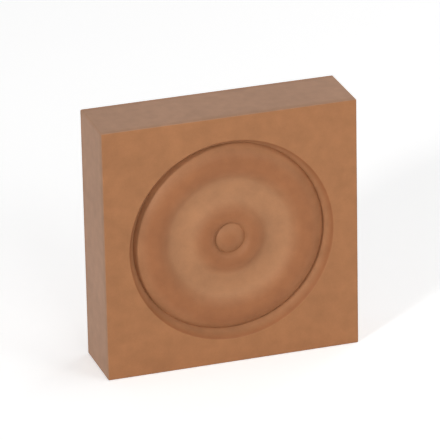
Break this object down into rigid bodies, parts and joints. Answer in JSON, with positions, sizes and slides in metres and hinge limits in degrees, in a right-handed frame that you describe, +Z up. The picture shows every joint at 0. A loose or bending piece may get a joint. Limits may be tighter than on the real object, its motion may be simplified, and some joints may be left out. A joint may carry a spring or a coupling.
{
  "type": "corner rosette block",
  "caption": "Square wood-fibre trim block with a turned bullseye rosette in its face, fixed where door or window casings meet at a corner.",
  "frame": {"origin": "centre of the flat back face, on the wall", "axes": "+Y into the wall, +Z up, so the rosette looks along -Y"},
  "size_m": [0.0952, 0.0254, 0.0952],
  "materials": {
    "fibreboard": "bare medium-density fibreboard, sanded face, turned recess and sawn edges"
  },
  "bodies": {
    "root": {"rosette_block": "fibreboard"}
  },
  "joints": []
}
